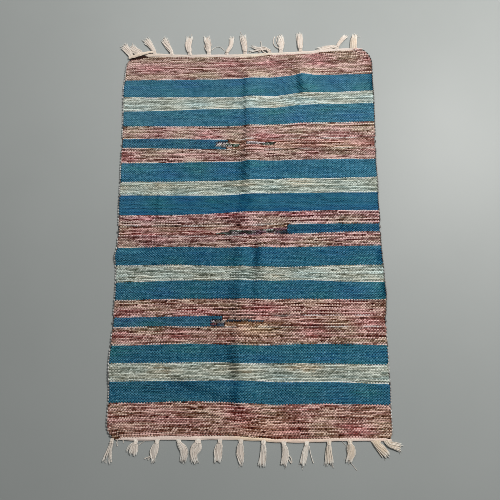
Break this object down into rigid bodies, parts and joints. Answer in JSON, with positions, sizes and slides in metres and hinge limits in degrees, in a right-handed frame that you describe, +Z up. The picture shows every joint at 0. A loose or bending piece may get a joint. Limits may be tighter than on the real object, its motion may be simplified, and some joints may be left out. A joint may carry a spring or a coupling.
{
  "type": "rug",
  "caption": "Flat-woven cotton rug with rose, blue and sage cross stripes, a cream heading and a knotted tassel fringe at each end, laid flat on the floor.",
  "frame": {"origin": "on the floor under the middle of the outline, fringe included", "axes": "+X across the rug to the right, +Y along the rug to the end that is at the top of the picture, +Z up from the floor"},
  "size_m": [0.6388, 1.006, 0.0114],
  "materials": {
    "weave": "matte weft-faced cotton weave, striped",
    "fringe": "matte undyed cotton yarn"
  },
  "bodies": {
    "root": {"cloth": "weave", "fringe_top": "fringe", "fringe_bottom": "fringe"}
  },
  "joints": []
}
